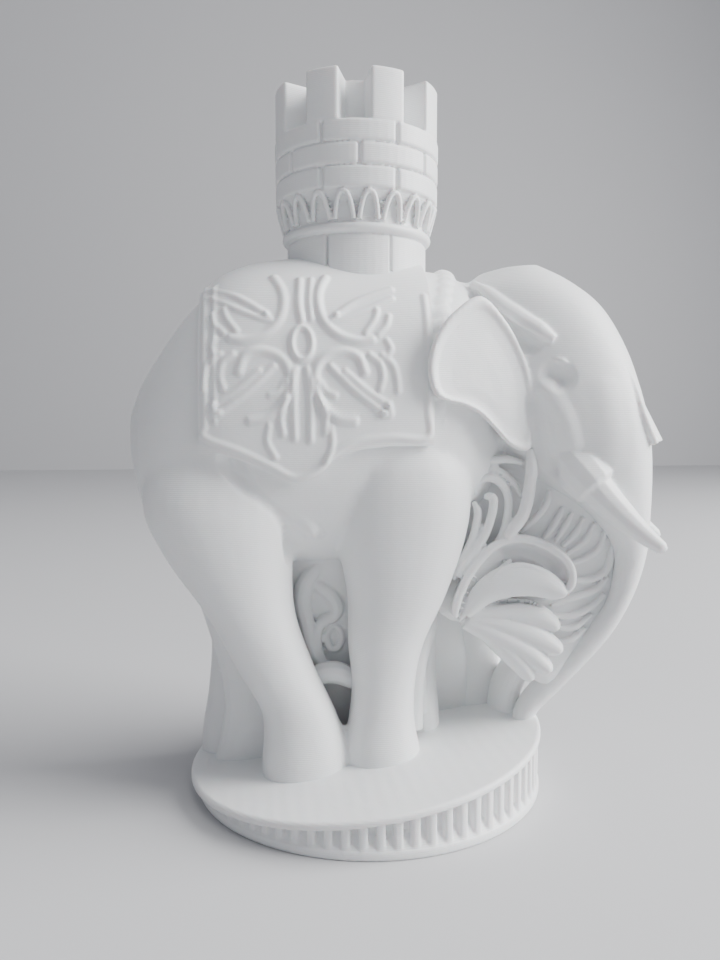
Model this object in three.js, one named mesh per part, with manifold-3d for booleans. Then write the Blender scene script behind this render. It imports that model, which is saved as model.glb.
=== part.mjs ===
// Chess rook shaped as a walking elephant that carries a castle tower on its back.
// It is one solid piece with its round reeded base.
// Millimetres, +Z up. The elephant looks along +X and its right side faces -Y.
// The origin is the middle of the base's flat underside.
import * as THREE from 'three';
import { mergeVertices } from 'three/addons/utils/BufferGeometryUtils.js';
import Module from 'manifold-3d';

const wasm = await Module();
wasm.setup();

// Driving sizes
const TOTAL_HEIGHT = 80;
const BASE_RADIUS = 20.3;
const FLUTE_COUNT = 72;
const MID_Y = 0.8;
const TOWER_X = -1.35;
const TOWER_Y = 0.55;
const TOWER_RADIUS = 9.4;
const HEAD_TURN = THREE.MathUtils.degToRad(25);
const HEAD_PIVOT = new THREE.Vector3(11, 1.5, 0);
const WHITE_PLASTIC = new THREE.MeshStandardMaterial({ color: 0xeceded, roughness: 0.42, metalness: 0 });

const vec = (x, y, z) => new THREE.Vector3(x, y, z);
const X_AXIS = vec(1, 0, 0);
const Y_AXIS = vec(0, 1, 0);
const Z_AXIS = vec(0, 0, 1);

// The base's upper face rises gently from the tail to the trunk.
const baseTop = (x) => 4.8 + 0.125 * x;

// A point in the head's own frame: forward, to the left, and up.
function headPoint(forward, left, up) {
  const c = Math.cos(HEAD_TURN);
  const s = Math.sin(HEAD_TURN);
  return vec(HEAD_PIVOT.x + c * forward + s * left, HEAD_PIVOT.y - s * forward + c * left, up);
}

const HEAD_SIDE = headPoint(0, 1, 0).sub(headPoint(0, 0, 0));

// A closed body from rings of points, with a fan over each end.
function loft(rings) {
  const count = rings[0].length;
  const points = rings.flat();
  const faces = [];
  for (let i = 1; i < rings.length; i++) {
    for (let j = 0; j < count; j++) {
      const a = (i - 1) * count + j;
      const b = (i - 1) * count + (j + 1) % count;
      faces.push(a, b, b + count, a, b + count, a + count);
    }
  }
  const middle = (ring) => ring.reduce((sum, p) => sum.add(p), vec(0, 0, 0)).divideScalar(count);
  const first = points.length;
  points.push(middle(rings[0]), middle(rings[rings.length - 1]));
  const last = (rings.length - 1) * count;
  for (let j = 0; j < count; j++) {
    faces.push(first, (j + 1) % count, j);
    faces.push(first + 1, last + j, last + (j + 1) % count);
  }
  return closed(points, faces);
}

// Turns the faces outwards where the rings run the other way.
function closed(points, faces) {
  let volume = 0;
  for (let i = 0; i < faces.length; i += 3) {
    const [a, b, c] = [points[faces[i]], points[faces[i + 1]], points[faces[i + 2]]];
    volume += a.dot(b.clone().cross(c));
  }
  const index = volume < 0 ? faces.slice().reverse() : faces;
  const geometry = new THREE.BufferGeometry().setFromPoints(points);
  geometry.setIndex(index);
  return geometry;
}

// A geometry as a solid that can be joined and cut.
function solid(geometry) {
  const bare = geometry.clone();
  bare.deleteAttribute('normal');
  bare.deleteAttribute('uv');
  const merged = mergeVertices(bare, 1e-4);
  const vertProperties = new Float32Array(merged.attributes.position.array);
  const triVerts = new Uint32Array(merged.index.array);
  return new wasm.Manifold(new wasm.Mesh({ numProp: 3, vertProperties, triVerts }));
}

// An oval ring around a middle, square-shouldered where power is over 2.
function oval(middle, axisA, axisB, radiusA, radiusB, count, power = 2) {
  const bend = (value) => Math.sign(value) * Math.abs(value) ** (2 / power);
  return Array.from({ length: count }, (_, i) => {
    const angle = 2 * Math.PI * (i + 0.5) / count;
    return middle.clone()
      .addScaledVector(axisA, radiusA * bend(Math.cos(angle)))
      .addScaledVector(axisB, radiusB * bend(Math.sin(angle)));
  });
}

// Smooth values between rows of measurements, whose first column is the position.
function track(rows) {
  const slope = (i, k) => {
    const before = rows[Math.max(i - 1, 0)];
    const after = rows[Math.min(i + 1, rows.length - 1)];
    return (after[k] - before[k]) / (after[0] - before[0]);
  };
  return (position) => {
    let i = 0;
    while (i < rows.length - 2 && position > rows[i + 1][0]) i++;
    const step = rows[i + 1][0] - rows[i][0];
    const t = Math.min(Math.max((position - rows[i][0]) / step, 0), 1);
    return rows[i].slice(1).map((value, column) => {
      const k = column + 1;
      const rise = t * t * (3 - 2 * t);
      const start = t * (1 - t) * (1 - t) * step * slope(i, k);
      const end = t * t * (t - 1) * step * slope(i + 1, k);
      return value + (rows[i + 1][k] - value) * rise + start + end;
    });
  };
}

const spread = (from, to, steps) => (
  Array.from({ length: steps + 1 }, (_, i) => from + (to - from) * i / steps)
);

// A rounded band along a curve. Its width may change, and it may be flattened towards a facing direction.
function band(points, radii, { sides = 5, steps = 8, facing = Y_AXIS, flat = 1 } = {}) {
  const curve = new THREE.CatmullRomCurve3(points, false, 'centripetal');
  return loft(spread(0, 1, steps).map((t) => {
    const middle = curve.getPointAt(t);
    const along = curve.getTangentAt(t);
    const across = along.clone().cross(facing).normalize();
    const out = across.clone().cross(along).normalize();
    const place = t * (radii.length - 1);
    const low = Math.min(Math.floor(place), radii.length - 2);
    const radius = radii[low] + (radii[low + 1] - radii[low]) * (place - low);
    return oval(middle, across, out, radius, radius * flat, sides);
  }));
}

// A plate with a chosen outline. Each layer scales the outline about its middle and lifts it.
function plate(outline, layers, place) {
  const middleA = outline.reduce((sum, p) => sum + p[0], 0) / outline.length;
  const middleB = outline.reduce((sum, p) => sum + p[1], 0) / outline.length;
  return loft(layers.map(([scale, lift]) => outline.map(([a, b]) => (
    place(middleA + (a - middleA) * scale, middleB + (b - middleB) * scale, lift)
  ))));
}

// An upright slab whose outline is drawn in the side view and runs from one depth to another.
function slab(outline, nearY, farY) {
  const shape = new THREE.Shape(outline.map(([x, z]) => new THREE.Vector2(x, z)));
  const geometry = new THREE.ExtrudeGeometry(shape, { depth: farY - nearY, bevelEnabled: false });
  geometry.rotateX(Math.PI / 2);
  geometry.translate(0, farY, 0);
  return geometry;
}

// Base: a foot band, a belt of rounded flutes, and a thin sloping plate
const FOOT_HEIGHT = 1.0;
const PLATE_THICKNESS = 0.8;
const PLATE_RADIUS = 20.85;
const PLATE_SHIFT = -0.35;

function baseSolids() {
  const crest = BASE_RADIUS - 0.35;
  const valley = BASE_RADIUS - 1.05;
  const ring = (radius, height, count, shift = 0) => Array.from({ length: count }, (_, i) => {
    const angle = 2 * Math.PI * i / count;
    const x = shift + radius(i) * Math.cos(angle);
    return vec(x, radius(i) * Math.sin(angle), height(x));
  });
  const round = (radius) => () => radius;
  const reeded = (i) => (i % 2 ? crest : valley);
  const underPlate = (x) => baseTop(x) - PLATE_THICKNESS;
  const foot = [ring(round(BASE_RADIUS), () => 0, 40), ring(round(BASE_RADIUS), () => FOOT_HEIGHT, 40)];
  const belt = [
    ring(reeded, () => FOOT_HEIGHT * 0.6, FLUTE_COUNT * 2),
    ring(reeded, (x) => underPlate(x) + 0.2, FLUTE_COUNT * 2),
  ];
  const top = [
    ring(round(PLATE_RADIUS), underPlate, 40, PLATE_SHIFT),
    ring(round(PLATE_RADIUS - 0.15), baseTop, 40, PLATE_SHIFT),
  ];
  return [loft(foot), loft(belt), loft(top)];
}

// Body and the saddle cloth over it
const BODY = [
  [-27.3, 43.6, 38.4, 2.2],
  [-26.3, 46.2, 33.6, 5.2],
  [-23.9, 50.2, 29.4, 8.4],
  [-20.6, 54.8, 27.6, 10.4],
  [-16.4, 58.5, 26.8, 11.7],
  [-10.0, 60.2, 26.4, 12.2],
  [-2.0, 60.4, 26.6, 12.2],
  [5.0, 60.3, 28.2, 11.5],
  [9.5, 59.6, 30.0, 10.2],
  [13.5, 57.0, 32.0, 7.6],
  [15.6, 53.0, 34.5, 4.6],
];
const BODY_POWER = 2.4;
const bodyAt = track(BODY);

function bodyRing(x, count, swell = 0) {
  const [top, bottom, halfWidth] = bodyAt(x);
  const middle = vec(x, MID_Y, (top + bottom) / 2);
  return oval(middle, Y_AXIS, Z_AXIS, halfWidth + swell, (top - bottom) / 2 + swell, count, BODY_POWER);
}

// A point on the saddle cloth: side is -1 on the right and +1 on the left.
function clothPoint(x, z, side, lift) {
  const [top, bottom, halfWidth] = bodyAt(x);
  const middle = (top + bottom) / 2;
  const share = Math.min(Math.abs((z - middle) / ((top - bottom) / 2 + lift)), 0.999);
  const reach = (halfWidth + lift) * (1 - share ** BODY_POWER) ** (1 / BODY_POWER);
  return vec(x, MID_Y + side * reach, z);
}

const CLOTH_THICKNESS = 0.85;
const CLOTH_HEM = [
  [-19.6, 40.2], [-15.0, 38.7], [-12.0, 37.3], [-9.4, 36.0], [-7.0, 36.8], [-5.5, 38.4], [-2.8, 39.7],
  [0.6, 40.1], [5.3, 40.1],
];

function bodySolids() {
  const stations = spread(BODY[0][0], BODY[BODY.length - 1][0], 12);
  const clothStations = spread(-20.5, 6.2, 6);
  const cloth = solid(loft(clothStations.map((x) => bodyRing(x, 18, CLOTH_THICKNESS))));
  const outline = [...CLOTH_HEM, [5.3, 64], [-18.6, 64], [-18.8, 52]];
  return [loft(stations.map((x) => bodyRing(x, 18))), cloth.intersect(solid(slab(outline, -20, 20)))];
}

// Raised scrollwork on the cloth: four scrolls around an oval, with a stem above and petals below
const ORNAMENT_X = -8.6;
const ORNAMENT_Z = 50.6;
const SCROLLS = [
  [[4.9, -7.6], [1.9, -6.3], [1.2, -4.0], [2.2, -1.7], [5.0, -1.2], [6.4, -3.0]],
  [[2.9, -2.6], [8.7, -7.0]],
  [[2.6, 6.6], [1.6, 4.4], [2.2, 2.3], [5.6, 0.4], [8.6, 1.4]],
  [[3.6, 2.8], [9.6, 5.6]],
];
const PETALS = [[[0, -2.8], [0.1, -7], [0, -11.2]], [[-1.5, -6.4], [-2.4, -10.2]], [[1.6, -6.6], [2.3, -9.8]]];

function stroke(points, side, radius, steps, lift = CLOTH_THICKNESS) {
  const path = points.map(([x, z]) => clothPoint(x, z, side, lift));
  const facing = vec(0, side, 0);
  return band(path, [radius * 0.7, radius, radius * 0.7], { sides: 3, steps, facing, flat: 0.9 });
}

function ornamentSolids() {
  const pieces = [];
  const place = ([a, b]) => [ORNAMENT_X + a, ORNAMENT_Z + b];
  for (const side of [-1, 1]) {
    for (const mirror of [-1, 1]) {
      for (const scroll of SCROLLS) {
        const points = scroll.map(([a, b]) => place([a * mirror, b]));
        pieces.push(stroke(points, side, 0.5, points.length > 2 ? 4 : 1));
      }
    }
    for (const petal of PETALS) pieces.push(stroke(petal.map(place), side, 0.5, 1));
    pieces.push(stroke([place([0, 2.2]), place([0, 6.8])], side, 0.6, 1));
    const turns = spread(0, 2 * Math.PI, 7).slice(0, -1);
    const medallion = turns.map((t) => [1.05 * Math.cos(t), 1.7 * Math.sin(t)]);
    const onCloth = (a, b, lift) => clothPoint(...place([a, b]), side, CLOTH_THICKNESS + lift);
    pieces.push(plate(medallion, [[1, -0.4], [0.9, 0.4]], onCloth));
    const last = CLOTH_HEM.length - 1;
    const inset = (i) => (i === 0 ? 0.9 : 0) - (i === last ? 0.7 : 0);
    const border = CLOTH_HEM.map(([x, z], i) => [x + inset(i), z + 1]);
    pieces.push(stroke([[-18.2, 54], [-18.9, 48], ...border, [4.6, 48], [4.4, 54]], side, 0.4, 7));
  }
  return pieces;
}

// Legs: height, middle x and y, and the half-sizes along X and Y
const NEAR_HIND = [
  [2.0, -8.0, -5.3, 4.7, 4.4],
  [6.0, -8.0, -5.3, 4.6, 4.4],
  [10.0, -8.6, -5.3, 4.1, 4.0],
  [15.0, -11.2, -5.3, 4.3, 4.2],
  [21.5, -14.0, -5.3, 4.9, 4.8],
  [28.0, -16.3, -5.2, 7.0, 5.6],
  [34.0, -17.3, -5.0, 8.3, 6.1],
  [42.0, -16.4, -3.6, 6.4, 5.2],
];
const NEAR_FRONT = [
  [3.0, 0.75, -5.7, 4.1, 4.2],
  [6.3, 0.75, -5.6, 4.0, 4.1],
  [9.0, 0.7, -5.4, 3.8, 3.8],
  [12.8, 0.95, -5.2, 3.6, 3.7],
  [17.5, 1.2, -5.2, 4.3, 4.2],
  [23.0, 2.4, -5.3, 5.6, 5.0],
  [30.0, 2.9, -5.5, 7.4, 5.8],
  [35.0, 2.9, -5.6, 7.9, 6.2],
  [39.6, 2.6, -5.2, 6.6, 6.0],
];
const FAR_FRONT = [
  [4.0, 15.2, 6.9, 4.0, 3.9],
  [7.5, 15.2, 6.9, 3.8, 3.8],
  [11.0, 15.2, 6.9, 3.4, 3.5],
  [16.0, 14.8, 6.8, 3.8, 3.9],
  [22.5, 13.4, 6.7, 4.8, 4.7],
  [30.0, 11.4, 6.6, 6.4, 5.6],
  [38.0, 8.8, 4.6, 6.0, 4.8],
];
const FAR_HIND = [
  [1.2, -15.9, 5.6, 4.2, 4.1],
  [5.0, -15.9, 5.6, 4.1, 4.1],
  [9.5, -15.6, 5.6, 3.7, 3.8],
  [17.0, -15.0, 5.8, 4.0, 4.1],
  [23.5, -16.2, 6.2, 5.2, 5.0],
  [30.0, -18.0, 6.4, 6.8, 5.8],
  [40.0, -16.6, 4.2, 6.4, 5.0],
];

function limb(rows, steps, sides) {
  const at = track(rows);
  return loft(spread(rows[0][0], rows[rows.length - 1][0], steps).map((z) => {
    const [x, y, halfX, halfY] = at(z);
    return oval(vec(x, y, z), X_AXIS, Y_AXIS, halfX, halfY, sides, 2.2);
  }));
}

// The tail lies down the middle of the rump and ends in a small tuft.
const TAIL_Y = MID_Y + 1.6;
const TAIL = [[-25.6, 44.5], [-26.5, 38.5], [-24.8, 31.5], [-20.8, 24.8], [-18.2, 19.4]]
  .map(([x, z]) => vec(x, TAIL_Y, z));

const tailSolids = () => [band(TAIL, [1.3, 1.0, 0.9, 1.1, 1.4], { sides: 5, steps: 5 })];

const legSolids = () => [
  limb(NEAR_HIND, 8, 12), limb(NEAR_FRONT, 8, 12), limb(FAR_FRONT, 6, 10), limb(FAR_HIND, 6, 10),
];

// Head and trunk: front edge, back edge (forward, up) and half-width, from the crown down to the base
const HEAD = [
  [0, 9.6, 60.9, 2.6, 60.0, 2.8],
  [1, 13.2, 58.9, -1.0, 56.6, 5.6],
  [2, 16.8, 55.9, -2.4, 51.8, 6.8],
  [3, 19.5, 51.4, -1.2, 46.6, 7.1],
  [4, 21.2, 46.8, 1.8, 41.8, 6.9],
  [5, 22.3, 42.6, 5.8, 38.0, 6.2],
  [6, 22.7, 39.2, 9.6, 35.6, 5.3],
  [7, 22.8, 35.6, 13.6, 33.6, 4.3],
  [8, 22.7, 31.6, 16.9, 30.8, 3.0],
  [9, 22.5, 28.0, 18.7, 27.4, 2.3],
  [10, 21.3, 23.2, 18.2, 22.4, 2.0],
  [11, 19.0, 18.3, 16.3, 19.3, 1.8],
  [12, 15.7, 13.9, 13.6, 15.8, 1.8],
  [13, 12.3, 9.9, 9.9, 11.7, 1.9],
  [14, 10.2, 7.4, 7.6, 8.2, 2.0],
  [15, 9.7, 4.4, 7.1, 4.4, 2.2],
];

function headSolids() {
  const at = track(HEAD);
  const rings = spread(0, 15, 16).map((s) => {
    const [frontU, frontZ, backU, backZ, halfWidth] = at(s);
    const front = headPoint(frontU, 0, frontZ);
    const back = headPoint(backU, 0, backZ);
    const reach = front.clone().sub(back);
    const middle = front.clone().add(back).multiplyScalar(0.5);
    return oval(middle, reach.clone().normalize(), HEAD_SIDE, reach.length() / 2, halfWidth, 12, 2.2);
  });
  const neck = [
    oval(vec(4, MID_Y, 46), Y_AXIS, Z_AXIS, 10.6, 13.4, 12),
    oval(vec(10, 1.0, 47), Y_AXIS, Z_AXIS, 9.4, 12.6, 12),
    oval(headPoint(4.5, 0, 48.5), HEAD_SIDE, Z_AXIS, 6.6, 10.6, 12),
  ];
  return [loft(rings), loft(neck)];
}

// Tusks with their sheaths, the brow folds and the raised edges of the head cloth
const CLOTH_STRIP = [
  [7.6, 59.6], [10.8, 58.0], [14.6, 54.8], [18.1, 50.9], [20.2, 46.8], [21.8, 42.6], [22.9, 40.2],
];

function headDetailSolids() {
  const pieces = [];
  for (const side of [-1, 1]) {
    const at = (forward, left, up) => headPoint(forward, side * left, up);
    pieces.push(band([at(13.6, 3.2, 38.0), at(16.2, 4.7, 35.7), at(19.2, 5.2, 32.6), at(23.3, 5.7, 29.2)],
      [2.2, 2.1, 1.65, 0.75], { sides: 6, steps: 4 }));
    pieces.push(band([at(13.4, 3.6, 39.0), at(15.4, 4.3, 36.6), at(16.9, 4.8, 35.1)], [3.0, 2.8, 2.4],
      { sides: 6, steps: 1 }));
    pieces.push(band([at(3.6, 5.0, 57.6), at(8.0, 6.6, 54.0), at(11.2, 6.9, 52.2)], [0.8, 1.3, 0.7],
      { sides: 5, steps: 3 }));
    const strip = CLOTH_STRIP.map(([forward, up], i) => at(forward, i < 6 ? 2.6 : 1.8, up));
    pieces.push(band(strip, [0.55, 0.7, 0.6], { sides: 3, steps: 6 }));
    pieces.push(band([at(11.6, 6.2, 48.9), at(13.4, 6.3, 48.5)], [0.7, 0.6], { sides: 5, steps: 1 }));
  }
  const tip = [headPoint(19.6, 0, 47), headPoint(21.8, 0, 42.6), headPoint(23.0, 0, 40.4)];
  const facing = headPoint(1, 0, 0).sub(headPoint(0, 0, 0));
  pieces.push(band(tip, [1.8, 1.7, 1.3], { sides: 6, steps: 2, facing, flat: 0.5 }));
  return pieces;
}

// Ears: a leaf-shaped flap fixed along its front edge, with the far one laid closer to the neck
const EAR = [
  [10.4, 55.9], [7.4, 54.2], [5.5, 52.0], [4.5, 49.6], [4.4, 47.2], [5.4, 45.2], [8.4, 44.4], [10.6, 43.4],
  [12.7, 41.6], [14.6, 39.9], [16.5, 39.4], [17.4, 40.4], [17.4, 44.0], [16.8, 47.4], [15.6, 50.4], [13.4, 53.6],
];

function earSolids() {
  const near = (x, z, lift) => vec(x, -12.7 + 0.33 * (x - 4.4) - lift, z);
  const far = (x, z, lift) => {
    const p = near(x, z, lift).sub(HEAD_PIVOT);
    const forward = p.x * Math.cos(HEAD_TURN) - p.y * Math.sin(HEAD_TURN);
    const left = p.x * Math.sin(HEAD_TURN) + p.y * Math.cos(HEAD_TURN);
    return headPoint(forward - 1.6, -left * 0.8, p.z);
  };
  const layers = [[0.85, -1.9], [1, -0.5], [0.97, 0.3], [0.6, 0.3]];
  return [plate(EAR, layers, near), plate(EAR, layers, far)];
}

// Twisted rope collar around the root of the neck
function collarSolids() {
  const strands = 26;
  const rings = spread(0, 1, strands).slice(0, -1).map((share, i) => {
    const angle = 2 * Math.PI * share;
    const up = Math.cos(angle);
    const x = 5.4 + 3.4 * Math.max(up, 0) ** 2 + 5 * Math.max(-up, 0) ** 2;
    const middle = vec(x, MID_Y + 10.9 * Math.sin(angle), 46.6 + 12.6 * up);
    const out = vec(0, Math.sin(angle), up);
    const thick = (i % 2 ? 1.7 : 1.25) * (0.75 + 0.25 * up);
    return oval(middle, out, X_AXIS, thick, thick * 1.35, 6);
  });
  const half = strands / 2;
  return [loft(rings.slice(0, half + 1)), loft([...rings.slice(half), rings[0]])];
}

// Foliage: a web of leaves from the chest to the trunk, a core between the legs, and a scroll in its front
const WEB = [
  [13.0, 41.0], [17.0, 40.6], [21.7, 37.1], [27.6, 33.5], [29.0, 28.1], [28.0, 22.2], [26.2, 18.2], [23.2, 14.6],
  [20.6, 11.8], [18.0, 13.0], [15.4, 15.8], [12.3, 18.8], [8.0, 20.2], [6.5, 27.0], [8.5, 34.0],
];
const BIG_LEAF = [
  [8.8, 21.0], [9.4, 24.0], [11.5, 27.4], [13.7, 29.3], [16.6, 29.6], [19.9, 28.4], [22.1, 26.3], [22.6, 24.4],
  [21.6, 22.9], [19.6, 22.2], [16.8, 22.5], [13.6, 21.9], [11.0, 21.0],
];
const FAN_LEAF = [
  [9.6, 21.0], [13.6, 22.2], [17.6, 22.0], [20.6, 20.0], [22.2, 17.2], [21.0, 14.6], [18.5, 12.6], [16.9, 15.0],
  [14.6, 17.8], [11.6, 19.4],
];
const STRANDS = [
  [[11.7, 31.8], [12.1, 34.2], [14.0, 35.3], [15.5, 33.2], [15.1, 29.8], [13.2, 26.6], [10.0, 22.6]],
  [[12.9, 32.4], [13.6, 33.5], [14.1, 31.2], [12.6, 27.6], [10.0, 23.6]],
  [[10.6, 31.5], [11.6, 31.6], [11.9, 29.4], [10.6, 25.8], [8.4, 22.6]],
];
const CHEST_RIBBON = [[17.2, 40.0], [17.8, 36.3], [16.9, 33.0], [15.4, 29.9]];
const LEG_SCROLL = [[-3.8, 25.2], [-6.4, 24.6], [-8.0, 22.0], [-7.9, 18.6], [-6.9, 15.6], [-5.0, 13.6]];
const LEG_HOOK = [[-7.6, 20.8], [-5.6, 22.2], [-4.0, 20.6], [-4.2, 17.4], [-5.0, 15.8]];

// The foliage that closes the space between the legs, as upright cores: height, x, y and half-sizes
const CORES = [
  [[2.5, -3.4, 1.4, 7.6, 3.2], [9, -3.2, 1.4, 6.2, 2.7], [16, -3.2, 1.4, 5.8, 2.6], [30, -1, 1.2, 10.5, 4.6]],
  [[1.5, -13, 1.2, 5.6, 2.6], [10, -12.6, 1.0, 4.6, 2.2], [20, -14, 1.0, 5.6, 2.6], [30, -15, 1.0, 8, 4]],
  [[4, 6.6, 1.8, 2.6, 4.4], [12, 6.4, 1.6, 2.2, 3.9], [20, 6.2, 1.0, 2.4, 3.6], [30, 6.5, 1.0, 4, 4]],
  [[4.5, 11, 5.2, 4, 2.0], [14, 11, 5.0, 3.4, 1.6], [30, 10, 4.4, 4, 2.4]],
  [[5, 17.6, 2.4, 2.0, 4.2], [9, 17.8, 2.2, 1.7, 3.6], [14.5, 19.4, -0.6, 1.6, 3.0]],
];

function foliageSolids() {
  const webNear = (x) => -4.3 - 0.13 * (x - 10);
  const web = (x, z, lift) => vec(x, webNear(x) - lift, z);
  const pieces = [plate(WEB, [[1, -3.6], [1, -0.4], [0.86, 0]], web)];
  pieces.push(plate(BIG_LEAF, [[0.9, -1], [1, 1.9], [0.92, 2.5], [0.62, 1.6], [0.3, 1.9]], web));
  pieces.push(plate(FAN_LEAF, [[0.9, -1.6], [1, 0.6], [0.8, 1.4]], web));
  for (const points of STRANDS) {
    const path = points.map(([x, z]) => vec(x, webNear(x) - 1.5, z));
    pieces.push(band(path, [0.6, 0.95, 0.9, 0.6], { sides: 3, steps: 5 }));
  }
  const ribbon = CHEST_RIBBON.map(([x, z]) => vec(x, webNear(x) - 2.6 + 0.3 * (40 - z) * 0.4, z));
  pieces.push(band(ribbon, [1.1, 0.9, 0.7], { sides: 5, steps: 3 }));
  for (const turn of spread(0, 1, 4)) {
    const angle = THREE.MathUtils.degToRad(-35 + 105 * turn);
    const rib = [6.2, 8.4, 10.2 - 1.2 * turn].map((r, i) => {
      const bowed = angle + 0.16 * i;
      const x = 18.2 + r * 0.95 * Math.cos(bowed);
      return vec(x, webNear(x) - 0.25 - 0.3 * i, 24.4 + r * Math.sin(bowed));
    });
    pieces.push(band(rib, [0.5, 0.85, 0.5], { sides: 3, steps: 2 }));
  }
  for (const turn of spread(0, 1, 2)) {
    const rib = [[12.6, 20.6], [17.0 + 1.6 * turn, 19.0 + turn], [19.0 + 2.4 * turn, 14.2 + 3 * turn]]
      .map(([x, z]) => vec(x, webNear(x) - 1.3, z));
    pieces.push(band(rib, [0.4, 0.7, 0.4], { sides: 3, steps: 2 }));
  }
  for (const core of CORES) pieces.push(limb(core, 3, 7));
  for (const side of [-1, 1]) {
    const y = 1.4 + side * 3.0;
    const upright = (points) => points.map(([x, z]) => vec(side < 0 ? x : -2.6 - 1.5 * (x + 5), y, z));
    pieces.push(band(upright(LEG_SCROLL), [0.9, 1.25, 1.1, 0.8], { sides: 4, steps: 5 }));
    pieces.push(band(upright(LEG_HOOK), [0.8, 1.15, 0.9], { sides: 4, steps: 5 }));
  }
  pieces.push(band([vec(-7.8, -3.0, 12.6), vec(-4.6, -3.4, 13.8), vec(-1.6, -3.2, 12.2)], [1.2, 1.5, 1.2],
    { sides: 5, steps: 2 }));
  pieces.push(band([vec(-12.5, 1.6, 10.5), vec(-14.8, 2.2, 7.4), vec(-16.0, 2.4, 3.0)], [1.5, 1.2, 1.5],
    { sides: 5, steps: 3 }));
  return pieces;
}

// Tower: plain drum with upright grooves, an arcade that flares out, three courses of blocks, eight merlons
const TOWER_TOP = TOTAL_HEIGHT;
const CRENEL_FLOOR = 74.5;
const CORE_RADIUS = 5.9;
const DRUM_RADIUS = 8.0;
const COURSES = [67.3, 69.7, 72.1, CRENEL_FLOOR];
const STRING_HEIGHT = 63.6;
const ARCH_COUNT = 20;
const VIEW_SIDE = THREE.MathUtils.degToRad(262.3);

// Rings from the bottom of the drum to the sunk top inside the merlons. In the arcade every other point is a rib.
const STEPPED_IN = 0.3;

function towerRings() {
  const rows = [
    [55, DRUM_RADIUS, DRUM_RADIUS],
    [62.9, DRUM_RADIUS, DRUM_RADIUS],
    [63.2, 8.35, 8.35],
    [STRING_HEIGHT + 0.3, 8.35, 8.35],
    [64.3, 8.1, 8.1],
    [64.8, 8.7, 8.1],
    [66.3, 9.1, 8.5],
    [COURSES[0] - 0.05, TOWER_RADIUS - STEPPED_IN, TOWER_RADIUS - STEPPED_IN],
  ];
  COURSES.slice(0, -1).forEach((height, i) => {
    const radius = TOWER_RADIUS - 0.1 + 0.04 * i;
    rows.push([height, radius, radius], [COURSES[i + 1] - 0.25, radius, radius]);
    rows.push([COURSES[i + 1] - 0.05, radius - STEPPED_IN, radius - STEPPED_IN]);
  });
  rows.push([CRENEL_FLOOR, TOWER_RADIUS, TOWER_RADIUS], [TOWER_TOP, TOWER_RADIUS, TOWER_RADIUS]);
  rows.push([TOWER_TOP, 4.9, 4.9], [TOWER_TOP - 1.6, 4.9, 4.9]);
  const count = ARCH_COUNT * 2;
  return rows.map(([z, rib, hollow]) => Array.from({ length: count }, (_, i) => {
    const angle = VIEW_SIDE + 2 * Math.PI * (i + 0.5) / count;
    const radius = i % 2 ? rib : hollow;
    return vec(radius * Math.cos(angle), radius * Math.sin(angle), z);
  }));
}

// A thin upright wedge that cuts a joint into a round wall, with its sharp edge inside.
function notch(angle, radius, depth, halfWidth, bottom, top) {
  const out = vec(Math.cos(angle), Math.sin(angle), 0);
  const across = vec(-Math.sin(angle), Math.cos(angle), 0);
  const corner = (r, w, z) => vec(0, 0, z).addScaledVector(out, r).addScaledVector(across, w);
  return loft([bottom, top].map((z) => [
    corner(radius - depth, 0, z), corner(radius + 0.6, halfWidth * 3, z), corner(radius + 0.6, -halfWidth * 3, z),
  ]));
}

function towerSolid() {
  let tower = solid(loft(towerRings()));
  const cuts = [];
  for (let i = 0; i < 8; i++) {
    const angle = VIEW_SIDE + (i + 0.5) * Math.PI / 4;
    const edge = (share, radius, z) => {
      const a = angle + share * THREE.MathUtils.degToRad(21.5);
      return vec(radius * Math.cos(a), radius * Math.sin(a), z);
    };
    cuts.push(loft([CRENEL_FLOOR + 0.1, TOWER_TOP + 1].map((z) => [
      edge(-0.5, CORE_RADIUS, z), edge(0.5, CORE_RADIUS, z), edge(0.5, 11, z), edge(-0.68, 11, z),
    ])));
  }
  for (let i = 0; i < 7; i++) {
    cuts.push(notch(VIEW_SIDE + (i + 0.5) * 2 * Math.PI / 7, DRUM_RADIUS, 0.42, 0.15, 54, 62.6));
  }
  for (const cut of cuts) tower = tower.subtract(solid(cut));
  return tower.translate([TOWER_X, TOWER_Y, 0]);
}

function joined() {
  const parts = [
    ...baseSolids(), ...bodySolids(), ...legSolids(), ...tailSolids(), ...headSolids(), ...headDetailSolids(),
    ...earSolids(), ...collarSolids(), ...ornamentSolids(), ...foliageSolids(),
  ];
  let whole = towerSolid();
  for (const part of parts) whole = whole.add(part instanceof THREE.BufferGeometry ? solid(part) : part);
  const mesh = whole.getMesh();
  const geometry = new THREE.BufferGeometry();
  geometry.setAttribute('position', new THREE.BufferAttribute(mesh.vertProperties, 3));
  geometry.setIndex(new THREE.BufferAttribute(mesh.triVerts, 1));
  geometry.computeVertexNormals();
  return geometry;
}

const rook = new THREE.Mesh(joined(), WHITE_PLASTIC);
rook.name = 'elephant_rook';

const part = new THREE.Group();
part.add(rook);

export default part;
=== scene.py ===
# %% [markdown]
# # A chess rook: a walking elephant with a castle on its back
#
# The real piece is one white plastic print about 80 mm tall. It is a sculpture, so most of it has no
# straight edges: legs grow out of the belly, the trunk grows out of the head, and leaves fill the gaps.
# We model in millimetres, because that is how the piece was measured, and bring each finished piece to
# metres at the end. The elephant looks along +X and the camera sees its right side, from -Y.

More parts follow.
